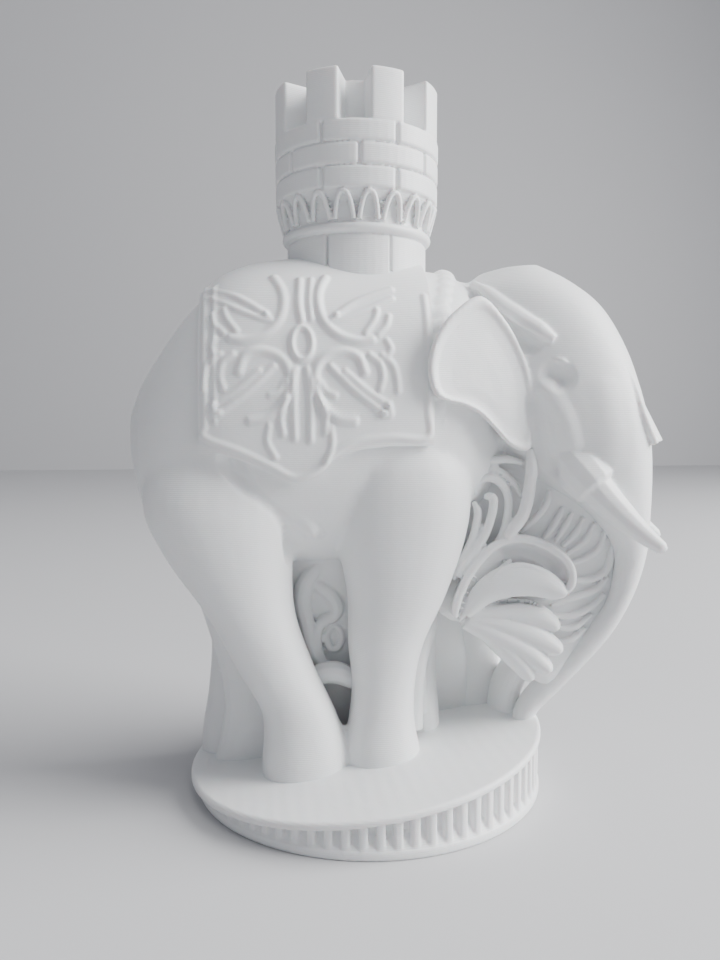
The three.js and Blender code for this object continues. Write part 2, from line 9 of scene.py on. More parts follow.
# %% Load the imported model
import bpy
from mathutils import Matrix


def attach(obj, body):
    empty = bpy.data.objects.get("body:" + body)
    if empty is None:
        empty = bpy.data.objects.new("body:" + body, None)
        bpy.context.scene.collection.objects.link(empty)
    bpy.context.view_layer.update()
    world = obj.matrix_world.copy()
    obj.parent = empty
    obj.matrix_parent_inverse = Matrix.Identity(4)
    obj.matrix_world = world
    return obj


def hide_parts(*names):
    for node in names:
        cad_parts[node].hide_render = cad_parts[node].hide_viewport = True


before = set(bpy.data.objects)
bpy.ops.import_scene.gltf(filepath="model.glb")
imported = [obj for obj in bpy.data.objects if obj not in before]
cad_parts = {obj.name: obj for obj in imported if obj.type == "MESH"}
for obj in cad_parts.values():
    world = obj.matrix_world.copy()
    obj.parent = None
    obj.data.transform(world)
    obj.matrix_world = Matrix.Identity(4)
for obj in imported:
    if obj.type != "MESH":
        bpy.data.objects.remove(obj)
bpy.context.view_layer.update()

# %% The libraries, and the two ways of picking things
import math

import bpy
import numpy as np
from mathutils import Vector

ROOK = "elephant_rook"
MM = 0.001


def take(*pieces):
    """Selects these pieces alone. The last one is the active one."""
    if bpy.context.object and bpy.context.object.mode != "OBJECT":
        bpy.ops.object.mode_set(mode="OBJECT")
    for other in list(bpy.context.selected_objects):
        other.select_set(False)
    for piece in pieces:
        piece.select_set(True)
    bpy.context.view_layer.objects.active = pieces[-1]
    return pieces[-1]


def edit(piece):
    """Opens a piece in edit mode with all of it selected."""
    take(piece)
    bpy.ops.object.mode_set(mode="EDIT")
    bpy.ops.mesh.select_all(action="SELECT")


def close_edit():
    bpy.ops.object.mode_set(mode="OBJECT")


def apply(piece, kind, **values):
    """Adds a modifier with these values and applies it."""
    take(piece)
    modifier = piece.modifiers.new(kind.title(), kind)
    for key, value in values.items():
        setattr(modifier, key, value)
    bpy.ops.object.modifier_apply(modifier=modifier.name)


def count_triangles(piece):
    return sum(len(face.vertices) - 2 for face in piece.data.polygons)


# %% [markdown]
# ## Camera
#
# The photograph was taken with a short lens from less than 10 cm away, so the near parts look large. The camera comes
# first, because every later step is seen through it.

# %% The camera
CAMERA_PLACE = (-14.22, -93.99, 42.2)
CAMERA_TILT = 86.115
CAMERA_TURN = -8
take(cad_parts[ROOK])
bpy.ops.object.camera_add(
    location=[c * MM for c in CAMERA_PLACE],
    rotation=(math.radians(CAMERA_TILT), 0, math.radians(CAMERA_TURN)),
)
camera = bpy.context.object
camera.data.lens = 30
camera.data.sensor_width = 36
camera.data.clip_start = 0.005
bpy.context.scene.camera = camera
print("camera", camera.data.lens, "mm lens")

# %% [markdown]
# ## The animal's main forms
#
# A barrel, four legs, a neck and a head that narrows into the trunk: each is a ring that is extruded from
# station to station, and scaled and tilted at each. The stations are measurements: where the form's middle
# is, how far it reaches, how wide it is, and how the ring leans. A sculptor would add clay strips and rub
# the joints away. Here a voxel remesh joins the forms into one skin and a smoothing pass rubs the joints.

# %% A form from stations
MID_Y = 0.8


def eased(rows, count):
    """Rows of measurements with smooth rows put in between. The first column is the position."""
    rows = np.array(rows, float)
    place = rows[:, 0]
    last = len(rows) - 1
    slope = np.array([
        (rows[min(i + 1, last)] - rows[max(i - 1, 0)]) / (place[min(i + 1, last)] - place[max(i - 1, 0)])
        for i in range(last + 1)
    ])
    made = []
    for at in np.linspace(place[0], place[-1], count):
        i = min(max(int(np.searchsorted(place, at)) - 1, 0), last - 1)
        step = place[i + 1] - place[i]
        t = (at - place[i]) / step
        rise = t * t * (3 - 2 * t)
        row = rows[i] + (rows[i + 1] - rows[i]) * rise
        row = row + t * (1 - t) ** 2 * step * slope[i] + t * t * (t - 1) * step * slope[i + 1]
        made.append([at, *row[1:]])
    return made


def form(name, stations, sides=32, square=2.2):
    """A closed form. Each station is its middle, reach, half-width and lean in degrees from level."""
    bpy.ops.mesh.primitive_circle_add(vertices=sides, radius=1, fill_type="NGON")
    piece = bpy.context.object
    piece.name = name
    for v in piece.data.vertices:
        v.co.x = math.copysign(abs(v.co.x) ** (2 / square), v.co.x)
        v.co.y = math.copysign(abs(v.co.y) ** (2 / square), v.co.y)
    edit(piece)
    old = (0, 0, 0, 1, 1, 0)
    for i, new in enumerate(stations):
        if i:
            bpy.ops.mesh.extrude_region_move()
        middle = old[:3]
        bpy.ops.transform.rotate(value=-math.radians(old[5]), orient_axis="Y", center_override=middle)
        bpy.ops.transform.resize(value=(new[3] / old[3], new[4] / old[4], 1), center_override=middle)
        bpy.ops.transform.rotate(value=math.radians(new[5]), orient_axis="Y", center_override=middle)
        bpy.ops.transform.translate(value=[b - a for a, b in zip(middle, new[:3])])
        old = new
    bpy.ops.mesh.select_all(action="SELECT")
    bpy.ops.mesh.normals_make_consistent(inside=False)
    close_edit()
    return piece


# %% Barrel: position along X, top, bottom, half-width
BODY = [
    (-27.3, 43.6, 38.4, 2.2), (-26.3, 46.2, 33.6, 5.2), (-23.9, 50.2, 29.4, 8.4), (-20.6, 54.8, 27.6, 10.4),
    (-16.4, 58.5, 26.8, 11.7), (-10, 60.2, 26.4, 12.2), (-2, 60.4, 26.6, 12.2), (5, 60.3, 28.2, 11.5),
    (9.5, 59.6, 30, 10.2), (13.5, 57, 32, 7.6), (15.6, 53, 34.5, 4.6),
]
BODY_SQUARE = 2.4
barrel = form(
    "barrel",
    [(x, MID_Y, (a + b) / 2, (a - b) / 2, w, 90) for x, a, b, w in eased(BODY, 34)],
    sides=48, square=BODY_SQUARE,
)
print("barrel", len(barrel.data.polygons), "faces")

# %% Legs: height, middle, half-sizes along X and Y
LEGS = {
    "near_hind_leg": [
        (2, -8, -5.3, 4.9, 4.6), (5, -8, -5.3, 4.9, 4.5), (7.5, -8.2, -5.3, 4.5, 4.2), (10.5, -8.9, -5.3, 4.1, 4),
        (15, -11.2, -5.3, 4.3, 4.2), (21.5, -14, -5.3, 4.9, 4.8), (28, -16.3, -5.2, 7, 5.6),
        (34, -17.3, -5, 8.3, 6.1), (42, -16.4, -3.6, 6.4, 5.2),
    ],
    "near_front_leg": [
        (3, .75, -5.7, 4.4, 4.4), (5.6, .75, -5.6, 4.3, 4.3), (8.4, .7, -5.4, 3.8, 3.8), (12.8, .95, -5.2, 3.6, 3.7),
        (17.5, 1.2, -5.2, 4.3, 4.2), (23, 2.4, -5.3, 5.6, 5), (30, 2.9, -5.5, 7.4, 5.8), (35, 2.9, -5.6, 7.9, 6.2),
        (38, 2.8, -5.4, 7.5, 6.1), (40.4, 2.6, -5.1, 5.8, 5.4),
    ],
    "far_front_leg": [
        (4, 15.2, 6.9, 4.1, 4), (7, 15.2, 6.9, 3.9, 3.9), (11, 15.2, 6.9, 3.4, 3.5), (16, 14.8, 6.8, 3.8, 3.9),
        (22.5, 13.4, 6.7, 4.8, 4.7), (30, 11.4, 6.6, 6.4, 5.6), (38, 8.8, 4.6, 6, 4.8),
    ],
    "far_hind_leg": [
        (1.2, -15.9, 5.6, 4.3, 4.2), (4.6, -15.9, 5.6, 4.2, 4.2), (9.5, -15.6, 5.6, 3.7, 3.8), (17, -15, 5.8, 4, 4.1),
        (23.5, -16.2, 6.2, 5.2, 5), (30, -18, 6.4, 6.8, 5.8), (40, -16.6, 4.2, 6.4, 5),
    ],
}
legs = [
    form(name, [(x, y, z, a, b, 0) for z, x, y, a, b in eased(rows, 26)], sides=28)
    for name, rows in LEGS.items()
]
print(len(legs), "legs")

# %% [markdown]
# The head is turned 25 degrees to the elephant's right, towards the viewer. It is modelled straight, in a
# frame of its own where X is forward, and turned once it is finished. From the crown to the trunk's foot
# each station is a front edge and a back edge, so the ring leans as the trunk curls under.

# %% Head and trunk: front edge and back edge (forward, up), half-width
HEAD = [
    (0, 9.6, 60.9, 2.6, 60, 2.8), (1, 13.2, 58.9, -1, 56.6, 5.6), (2, 16.8, 55.9, -2.4, 51.8, 6.8),
    (3, 19.5, 51.4, -1.2, 46.6, 7.1), (4, 21.2, 46.8, 1.8, 41.8, 6.9), (5, 22.3, 42.6, 5.8, 38, 6.2),
    (6, 22.7, 39.2, 9.6, 35.6, 5.3), (7, 22.8, 35.6, 13.6, 33.6, 4.3), (8, 22.7, 31.6, 16.9, 30.8, 3.1),
    (9, 22.5, 28, 18.7, 27.4, 2.4), (10, 21.3, 23.2, 18.2, 22.4, 2.1), (11, 19, 18.3, 16.3, 19.3, 1.9),
    (12, 15.7, 13.9, 13.6, 15.8, 1.9), (13, 12.3, 9.9, 9.9, 11.7, 2), (14, 10.2, 7.4, 7.6, 8.2, 2.1),
    (15, 9.7, 4.4, 7.1, 4.4, 2.3),
]
HEAD_TURN = math.radians(25)
HEAD_PIVOT = Vector((11, 1.5, 0))


def head_point(forward, left, up):
    """A point of the head's own frame in the rook's frame."""
    c, s = math.cos(HEAD_TURN), math.sin(HEAD_TURN)
    return Vector((HEAD_PIVOT.x + c * forward + s * left, HEAD_PIVOT.y - s * forward + c * left, up))


def turn_head(piece):
    """Brings a piece from the head's frame to the rook's."""
    take(piece)
    piece.rotation_euler.z = -HEAD_TURN
    piece.location = HEAD_PIVOT
    bpy.ops.object.transform_apply(location=True, rotation=True, scale=True)
    return piece


def head_station(row):
    _, front_u, front_z, back_u, back_z, width = row
    reach = math.hypot(front_u - back_u, front_z - back_z) / 2
    lean = math.degrees(math.atan2(front_z - back_z, front_u - back_u))
    return ((front_u + back_u) / 2, 0, (front_z + back_z) / 2, reach, width, lean)


stations = [head_station(row) for row in eased(HEAD, 61)]
for i in range(1, len(stations)):
    u, y, z, reach, width, lean = stations[i]
    turns = round((stations[i - 1][5] - lean) / 360)
    stations[i] = (u, y, z, reach, width, lean + 360 * turns)
head = turn_head(form("head_and_trunk", stations, sides=40))
neck = form(
    "neck",
    [(4, MID_Y, 46, 13.4, 10.6, 90), (7.5, 0.9, 46.6, 13.1, 10, 90), (10, 1, 47, 12.4, 9.2, 90),
     (14, -.2, 48.2, 10.4, 6.8, 90)],
)
print("head and trunk", len(head.data.polygons), "faces")

# %% [markdown]
# Curls, ropes, tusks and the tail are round in section. A Bezier curve with a radius at each point draws
# them faster than rings would, and it converts to a mesh. Its end caps are loose, so the doubles are merged.


# %% Round strands along a curve
def strands(name, lines, sides=8):
    """One mesh of round strands. Each line is a list of (x, y, z, radius)."""
    bpy.ops.curve.primitive_bezier_curve_add()
    piece = bpy.context.object
    piece.name = name
    data = piece.data
    data.splines.clear()
    data.dimensions = "3D"
    data.bevel_depth = 1
    data.bevel_resolution = sides // 2 - 2
    data.resolution_u = 5
    data.use_fill_caps = True
    for line in lines:
        spline = data.splines.new("BEZIER")
        spline.bezier_points.add(len(line) - 1)
        for point, (x, y, z, radius) in zip(spline.bezier_points, line):
            point.co = (x, y, z)
            point.radius = radius
            point.handle_left_type = point.handle_right_type = "AUTO"
    take(piece)
    bpy.ops.object.convert(target="MESH")
    piece = bpy.context.object
    edit(piece)
    bpy.ops.mesh.remove_doubles(threshold=1e-4)
    bpy.ops.mesh.normals_make_consistent(inside=False)
    close_edit()
    return piece


def join(name, pieces):
    take(*pieces)
    bpy.ops.object.join()
    piece = bpy.context.object
    piece.name = name
    return piece


def fuse(piece, voxel, rub):
    """One skin round all the shells of a piece, smoothed a number of times."""
    take(piece)
    piece.data.remesh_voxel_size = voxel
    bpy.ops.object.voxel_remesh()
    if rub:
        apply(piece, "SMOOTH", factor=0.5, iterations=rub)


# %% The tail, down the middle of the rump
TAIL_Y = MID_Y + 1.6
tail = strands("tail", [[
    (-23.4, TAIL_Y, 49, 1.2), (-25.5, TAIL_Y, 44.5, 1.3), (-26.3, TAIL_Y, 38.5, 1.05), (-24.7, TAIL_Y, 31.5, .9),
    (-20.8, TAIL_Y, 24.8, 1.1), (-18.2, TAIL_Y, 19.4, 1.35), (-17.6, TAIL_Y, 17.4, .6),
]])

# %% Rub the main forms together
FIRST_VOXEL = 0.5
body = join("elephant", [*legs, head, neck, tail, barrel])
fuse(body, FIRST_VOXEL, 6)
print("body", len(body.data.polygons), "faces after the first remesh")

# %% [markdown]
# ## Ears, tusks and the small forms of the head
#
# The ear is a thin flap that is fixed along its front edge. Its outline is drawn in the side view and
# extruded in steps: back, edge, rolled rim, and the shallow dish inside the rim.


# %% A plate with a drawn outline
def rounded(outline, steps=4):
    """A closed outline with curved points put in between."""
    points = [np.array(p, float) for p in outline]
    made = []
    for i in range(len(points)):
        a, b, c, d = (points[(i + k) % len(points)] for k in (-1, 0, 1, 2))
        for t in np.linspace(0, 1, steps, endpoint=False):
            made.append(
                0.5 * (2 * b + (c - a) * t + (2 * a - 5 * b + 4 * c - d) * t**2 + (3 * b - a - 3 * c + d) * t**3)
            )
    return made


def plate(name, outline, layers, depth_at):
    """A flap seen from -Y. Each layer scales the outline about its middle and lifts it towards the viewer."""
    bpy.ops.mesh.primitive_circle_add(vertices=len(outline), radius=1, fill_type="NGON")
    piece = bpy.context.object
    piece.name = name
    for v, (x, z) in zip(piece.data.vertices, outline):
        v.co = (x, 0, z)
    middle = [sum(p[0] for p in outline) / len(outline), 0, sum(p[1] for p in outline) / len(outline)]
    edit(piece)
    old_scale, old_lift = 1, 0
    for i, (scale, lift) in enumerate(layers):
        if i:
            bpy.ops.mesh.extrude_region_move()
        share = scale / old_scale
        bpy.ops.transform.resize(value=(share, 1, share), center_override=middle)
        bpy.ops.transform.translate(value=(0, old_lift - lift, 0))
        old_scale, old_lift = scale, lift
    bpy.ops.mesh.select_all(action="SELECT")
    bpy.ops.mesh.normals_make_consistent(inside=False)
    close_edit()
    for v in piece.data.vertices:
        v.co.y += depth_at(v.co.x, v.co.z)
    return piece


# %% The ears
EAR = [
    (10.4, 55.9), (7.4, 54.2), (5.5, 52), (4.5, 49.6), (4.4, 47.2), (5.4, 45.2), (8.4, 44.4), (10.6, 43.4),
    (12.7, 41.6), (14.6, 39.9), (16.5, 39.4), (17.4, 40.4), (17.4, 44), (16.8, 47.4), (15.6, 50.4), (13.4, 53.6),
]
EAR_LAYERS = [(.85, -1.9), (.96, -1), (1, -.4), (1, .15), (.965, .45), (.91, .42), (.84, .1), (.62, 0), (.3, .1)]
FAR_EAR_BACK = 1.6
FAR_EAR_SPREAD = 0.8


def ear_depth(x, z):
    return -12.7 + 0.33 * (x - 4.4) + 0.05 * max(0, 46 - z)


near_ear = plate("near_ear", rounded(EAR, 5), EAR_LAYERS, ear_depth)
far_ear = plate("far_ear", rounded(EAR, 5), EAR_LAYERS, ear_depth)
for v in far_ear.data.vertices:
    p = v.co - HEAD_PIVOT
    forward = p.x * math.cos(HEAD_TURN) - p.y * math.sin(HEAD_TURN)
    left = p.x * math.sin(HEAD_TURN) + p.y * math.cos(HEAD_TURN)
    v.co = head_point(forward - FAR_EAR_BACK, -left * FAR_EAR_SPREAD, p.z)
edit(far_ear)
bpy.ops.mesh.normals_make_consistent(inside=False)
close_edit()
print("ears", len(near_ear.data.polygons), "faces each")

# %% Tusks with their sheaths, brow folds, eyes and the borders of the head cloth
CLOTH_STRIP = [(7.6, 59.8), (10.8, 58.2), (14.6, 55), (18.1, 51.1), (20.2, 46.9), (21.8, 42.6), (22.9, 40.2)]


def on_head(side, rows):
    return [(*head_point(f, side * left, up), radius) for f, left, up, radius in rows]


small_forms = []
for side in (-1, 1):
    small_forms += [
        on_head(side, [(13.2, 3.1, 38.6, 2), (14.8, 4, 37.1, 2.3), (16.2, 4.7, 35.7, 2.05), (19.2, 5.2, 32.6, 1.6),
                       (22, 5.6, 30.2, 1.05), (23.6, 5.75, 29.0, .75), (24, 5.8, 28.7, .4)]),
        on_head(side, [(13, 3.4, 39.6, 2.4), (15.2, 4.2, 36.9, 2.85), (16.6, 4.7, 35.4, 2.6), (17, 4.8, 35, 1.8)]),
        on_head(side, [(2.6, 4.6, 58.4, .5), (4.6, 5.5, 56.8, 1), (8, 6.6, 54, 1.25), (10.4, 6.9, 52.6, 1),
                       (12, 6.8, 51.6, .5)]),
        on_head(side, [(11, 6.1, 49.2, .35), (11.8, 6.4, 49.3, .55), (12.9, 6.5, 49.1, .55), (13.7, 6.3, 48.6, .3)]),
        [(*head_point(f, side * (2.6 if i < 6 else 1.8), up), .5 if i < 6 else .4)
         for i, (f, up) in enumerate(CLOTH_STRIP)],
    ]
tusks = strands("tusks_and_folds", small_forms, sides=12)
cap_tip = form("cap_tip", [(19.4, 0, 47.4, .9, 2.2, 20), (21.6, 0, 43, .9, 2, 20), (23.1, 0, 40.3, .75, 1.6, 20)],
               sides=16)
turn_head(cap_tip)
print("head details", len(tusks.data.polygons), "faces")

# %% [markdown]
# The collar is a thick twisted rope. A rope is the same slanted bead over and over, so one bead is made
# from a sphere, flattened and slanted, and copied round the neck.


# %% The rope collar
def collar_place(angle):
    up, side = math.cos(angle), math.sin(angle)
    x = 5.4 + 3.4 * max(up, 0) ** 2 + 5 * max(-up, 0) ** 2
    return Vector((x, MID_Y + 10.9 * side, 46.6 + 12.6 * up))


BEADS = 46
bpy.ops.mesh.primitive_uv_sphere_add(segments=14, ring_count=8, radius=1)
bead = bpy.context.object
beads = []
for i in range(BEADS):
    angle = 2 * math.pi * i / BEADS
    copy = bead.copy()
    copy.data = bead.data.copy()
    bpy.context.collection.objects.link(copy)
    along = (collar_place(angle + 0.01) - collar_place(angle - 0.01)).normalized()
    across = Vector((1, 0, 0))
    slant = (along + across * 0.75).normalized()
    size = 1 + 0.2 * math.cos(angle)
    copy.rotation_mode = "QUATERNION"
    copy.rotation_quaternion = slant.to_track_quat("X", "Z")
    copy.scale = (1.75 * size, 0.86 * size, 1.2 * size)
    copy.location = collar_place(angle)
    beads.append(copy)
bpy.data.objects.remove(bead)
collar = join("collar", beads)
bpy.ops.object.transform_apply(location=True, rotation=True, scale=True)
print("collar", BEADS, "beads")

# %% Fuse the animal with its ears, tusks and collar
FINE_VOXEL = 0.22
elephant = join("elephant", [near_ear, far_ear, tusks, cap_tip, collar, body])
fuse(elephant, FINE_VOXEL, 2)
print("elephant", len(elephant.data.polygons), "faces after the fine remesh")

# %% [markdown]
# ## Carving
#
# Folds, hollows and wrinkles are pressed into the fine skin. Each stroke is a line in space with a reach
# and a height: skin within reach moves along its own normal, most in the middle. No operator does this
# without a window, so the vertices are moved in code, as a sculpting brush would move them.


# %% A carving stroke
def curve_through(points, steps=6):
    """Points on a smooth line through these points."""
    points = [np.array(p, float) for p in points]
    if len(points) < 3:
        return np.array([points[0] + (points[-1] - points[0]) * t for t in np.linspace(0, 1, steps)])
    padded = [2 * points[0] - points[1], *points, 2 * points[-1] - points[-2]]
    made = []
    for i in range(len(points) - 1):
        a, b, c, d = padded[i:i + 4]
        for t in np.linspace(0, 1, steps, endpoint=False):
            made.append(
                0.5 * (2 * b + (c - a) * t + (2 * a - 5 * b + 4 * c - d) * t**2 + (3 * b - a - 3 * c + d) * t**3)
            )
    return np.array([*made, points[-1]])


def carve(piece, strokes, sharp=2.0):
    """Moves skin along its normals. A stroke is (points, reach, height), and may end in a facing vector."""
    mesh = piece.data
    count = len(mesh.vertices)
    spots = np.empty(count * 3)
    mesh.vertices.foreach_get("co", spots)
    spots = spots.reshape(-1, 3)
    normals = np.empty(count * 3)
    mesh.vertices.foreach_get("normal", normals)
    normals = normals.reshape(-1, 3)
    move = np.zeros(count)
    for points, reach, height, *facing in strokes:
        line = curve_through(points)
        low, high = line.min(0) - reach, line.max(0) + reach
        near = np.all((spots > low) & (spots < high), axis=1)
        if facing:
            near &= normals @ np.array(facing[0], float) > 0
        near = np.flatnonzero(near)
        best = np.full(len(near), reach)
        here = spots[near]
        for a, b in zip(line[:-1], line[1:]):
            step = b - a
            t = np.clip((here - a) @ step / max(step @ step, 1e-12), 0, 1)
            best = np.minimum(best, np.linalg.norm(here - a - t[:, None] * step, axis=1))
        move[near] += height * (1 - (best / reach) ** 2) ** sharp
    spots = spots + normals * move[:, None]
    mesh.vertices.foreach_set("co", spots.ravel())
    mesh.update()


NEAR = (0, -1, 0)
FAR = (0, 1, 0)


def both_sides(rows):
    """Strokes in the head's frame, on its right and left cheek."""
    made = []
    for points, reach, height in rows:
        for side in (-1, 1):
            made.append(([head_point(f, side * left, up) for f, left, up in points], reach, height))
    return made


# %% Carve the head
carve(elephant, both_sides([
    ([(12, 6.5, 47.8), (12.8, 6.6, 47.4)], 1.9, -1.0),
    ([(3, 5.6, 56.4), (6.6, 6.8, 53.3), (9.6, 7.2, 51)], 1.3, -.7),
    ([(16.6, 4.2, 46), (17.4, 4, 42), (17.6, 3.6, 38.6)], 2.6, .35),
    ([(11.4, 6.4, 46.4), (13.2, 6.2, 43), (14, 5.6, 40.4)], 1.6, .45),
    ([(9.8, 6.6, 44.6), (10.6, 6.2, 40.6), (11.8, 5.2, 37.4)], 1.5, -.45),
]))

# %% Carve the folds between the legs and the belly
carve(elephant, [
    ([(-16, -10.5, 38.5), (-14.3, -9.6, 35.8), (-10.8, -8.2, 32.2), (-9.4, -7.4, 28.4)], 1.7, -.9),
    ([(-12.8, -9.4, 36.4), (-9.2, -8.6, 33.4), (-7.2, -8, 31)], 1.2, .6),
    ([(-9.8, -9.5, 35.2), (-7.6, -8.6, 33.2), (-6.6, -8, 30.6)], 0.9, -.5),
])
print("carved")

# %% [markdown]
# ## Finish shared by all pieces
#
# The whole rook is one white plastic. Close by, a print shows level layer lines a fifth of a millimetre apart, a
# slightly uneven surface, and a few dark specks. The layer lines, the unevenness and a gentle random tone are
# procedural and read the object's own coordinates, so they stay put from every side.


# %% The white printed plastic
def printed_plastic():
    material = bpy.data.materials.new("white_printed_plastic")
    material.use_nodes = True
    nodes, links = material.node_tree.nodes, material.node_tree.links
    shader = nodes["Principled BSDF"]
    shader.inputs["Roughness"].default_value = 0.46
    shader.inputs["IOR"].default_value = 1.46
    shader.inputs["Subsurface Weight"].default_value = 0.12
    shader.inputs["Subsurface Scale"].default_value = 0.0012
    place = nodes.new("ShaderNodeTexCoord").outputs["Object"]

    def texture(kind, scale, **inputs):
        node = nodes.new(kind)
        node.inputs["Scale"].default_value = scale
        for key, value in inputs.items():
            node.inputs[key.replace("_", " ")].default_value = value
        links.new(place, node.inputs["Vector"])
        return node

    layers = texture("ShaderNodeTexWave", 1571, Distortion=1.2, Detail=1, Detail_Scale=0.15)
    layers.bands_direction = "Z"
    uneven = texture("ShaderNodeTexNoise", 900, Detail=3)
    tone = texture("ShaderNodeTexNoise", 120, Detail=3)
    ramp = nodes.new("ShaderNodeValToRGB")
    ramp.color_ramp.elements[0].color = (0.80, 0.81, 0.81, 1)
    ramp.color_ramp.elements[1].color = (0.87, 0.88, 0.885, 1)
    links.new(tone.outputs["Fac"], ramp.inputs["Fac"])
    links.new(ramp.outputs["Color"], shader.inputs["Base Color"])
    first = nodes.new("ShaderNodeBump")
    first.inputs["Strength"].default_value = 0.25
    first.inputs["Distance"].default_value = 0.00004
    links.new(layers.outputs["Fac"], first.inputs["Height"])
    second = nodes.new("ShaderNodeBump")
    second.inputs["Strength"].default_value = 0.3
    second.inputs["Distance"].default_value = 0.00008
    links.new(uneven.outputs["Fac"], second.inputs["Height"])
    links.new(first.outputs["Normal"], second.inputs["Normal"])
    links.new(second.outputs["Normal"], shader.inputs["Normal"])
    return material


PLASTIC = printed_plastic()
MOST_TRIANGLES = 190_000


def finish_piece(piece, smooth=40):
    """Metres, smooth shading, the plastic, and its place in the frame."""
    take(piece)
    triangles = count_triangles(piece)
    if triangles > MOST_TRIANGLES:
        apply(piece, "DECIMATE", ratio=MOST_TRIANGLES / triangles)
    take(piece)
    piece.scale = (MM, MM, MM)
    bpy.ops.object.transform_apply(location=True, rotation=True, scale=True)
    bpy.ops.object.shade_smooth_by_angle(angle=math.radians(smooth))
    piece.data.materials.clear()
    piece.data.materials.append(PLASTIC)
    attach(piece, "root")
    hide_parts(ROOK)
    print(piece.name, count_triangles(piece), "triangles")


# %% Finish the elephant
finish_piece(elephant, smooth=60)

# %% [markdown]
# ## Foliage
#
# Curling leaves fill the space between the chest and the trunk, and between the legs. They tie the thin parts
# of the print together. They are layered: a web at the back, shallow ribs on it, then leaf lobes, and
# strands and rolled rims in front. Every line is drawn in the side view, and `stand` says how far in front of
# the web it lies, so the same drawing also serves the other side.

# %% Where the web stands
WEB = [
    (13, 41), (17, 40.6), (21.7, 37.1), (27.6, 33.5), (29, 28.1), (28, 22.2), (26.2, 18.2), (23.2, 14.6),
    (20.6, 11.8), (18, 13), (15.4, 15.8), (12.3, 18.8), (8, 20.2), (6.5, 27), (8.5, 34),
]
WEB_DEPTH = 3.6


def web_near(x):
    return -4.3 - 0.13 * (x - 10)


def on_web(x, z, stand, side=-1):
    """A point in front of the web, or behind it where side is 1."""
    return (x, web_near(x) - stand, z) if side < 0 else (x, web_near(x) + WEB_DEPTH + stand, z)


def lobe(name, spine, bulge, thick=0.7, side=-1):
    """A leaf lobe along a spine of (x, z, stand, half-width). It bulges across, or is hollow below zero."""
    line = curve_through(spine, 5)
    across = np.linspace(-1, 1, 9)
    bpy.ops.mesh.primitive_grid_add(x_subdivisions=len(line) - 1, y_subdivisions=len(across) - 1, size=2)
    piece = bpy.context.object
    piece.name = name
    ahead = np.gradient(line[:, :2], axis=0)
    ahead /= np.linalg.norm(ahead, axis=1)[:, None]
    for v in piece.data.vertices:
        i = round((v.co.x + 1) / 2 * (len(line) - 1))
        t = v.co.y
        x, z, stand, half = line[i]
        x, z = x - ahead[i][1] * half * t, z + ahead[i][0] * half * t
        v.co = on_web(x, z, stand + bulge * (1 - t * t), side)
    edit(piece)
    bpy.ops.mesh.normals_make_consistent(inside=False)
    close_edit()
    apply(piece, "SOLIDIFY", thickness=thick, offset=0)
    return piece


def drawn(lines, side=-1):
    """Strand lines from (points, stand, radius). The ends taper."""
    made = []
    for points, stand, radius in lines:
        last = len(points) - 1
        made.append([
            (*on_web(x, z, stand, side), radius * (.6 if i in (0, last) else 1)) for i, (x, z) in enumerate(points)
        ])
    return made


# %% The lines of the leaves
VOLUTES = [
    ([(11.2, 33.6), (11.7, 32.5), (11.6, 31.2), (11.2, 29.5), (10.5, 27.9), (9.7, 26.4), (9, 24.6)], 1.5, .5),
    ([(12.3, 34.2), (13.2, 34.1), (13.3, 33), (13, 31.5), (12.5, 30), (11.5, 28.2), (10.3, 26.7), (9.4, 25)], 1.9, .52),
    ([(11.3, 34.4), (11.1, 35.2), (11.6, 35.9), (12.9, 36.3), (14.2, 35.7), (15, 34.3), (15.1, 32.8), (14.9, 31.2),
      (14.5, 29.9), (13.6, 28.6)], 1.7, .52),
    ([(17.2, 39.6), (17.4, 37.4), (17.2, 35.4), (16.9, 33.5), (16.4, 32), (15.5, 30.7), (14.6, 29.5)], 2.5, .72),
    ([(19.9, 34.9), (19.8, 33.8), (19.3, 32.7), (18.2, 31.4), (16.6, 29.8)], 1, .42),
    ([(11.5, 36.9), (12.6, 37.3), (14.1, 37.1), (15.8, 35.6), (16.7, 34)], 1.4, .4),
    ([(10.3, 38.2), (11.5, 38.7), (13.2, 38.3), (14.9, 38.4), (16.7, 38)], 1.5, .5),
]
RIBS = [
    ([(21.8, 32.8), (21.3, 31.7), (20.7, 30.6), (19.6, 29.2)], .3, .4),
    ([(22.9, 32.2), (22.2, 30.8), (21, 28.8)], .3, .4),
    ([(24.2, 31.6), (23.3, 29.8), (21.8, 28.2)], .3, .42),
    ([(25.5, 30.9), (24.5, 29), (22.4, 27.4)], .25, .42),
    ([(26.8, 30.2), (26.2, 28.2), (24.8, 27), (22.6, 26.2)], .25, .42),
    ([(27.7, 29), (27.5, 27.2), (27, 25.5), (25.2, 24.4), (22.4, 24.4)], .25, .45),
    ([(20.6, 21.2), (23.5, 22.3), (25.7, 23.2), (27.2, 24.6)], .25, .42),
    ([(20, 20.1), (23.1, 20.1), (25.3, 21.2), (26.8, 22.6)], .25, .42),
    ([(20.9, 18.7), (23.1, 18.6), (25.4, 20.2)], .25, .4),
    ([(21.4, 16.9), (23.1, 17.3), (24.7, 18.6)], .25, .4),
]
RIM = [(9, 20.4), (9.2, 22), (9.8, 23.7), (10.7, 25.5), (11.9, 27.2), (13.4, 28.6), (15.1, 29.3), (17.3, 29.3),
       (19, 28.7), (20.5, 27.8), (21.6, 26.8), (22.2, 25.4), (22.1, 24.1), (21.5, 23.2)]
LIP = [(20.2, 22.1), (19, 22.5), (17.7, 22.9), (15.9, 22.8), (14.7, 22.5), (13, 21.6), (11.2, 20.5)]
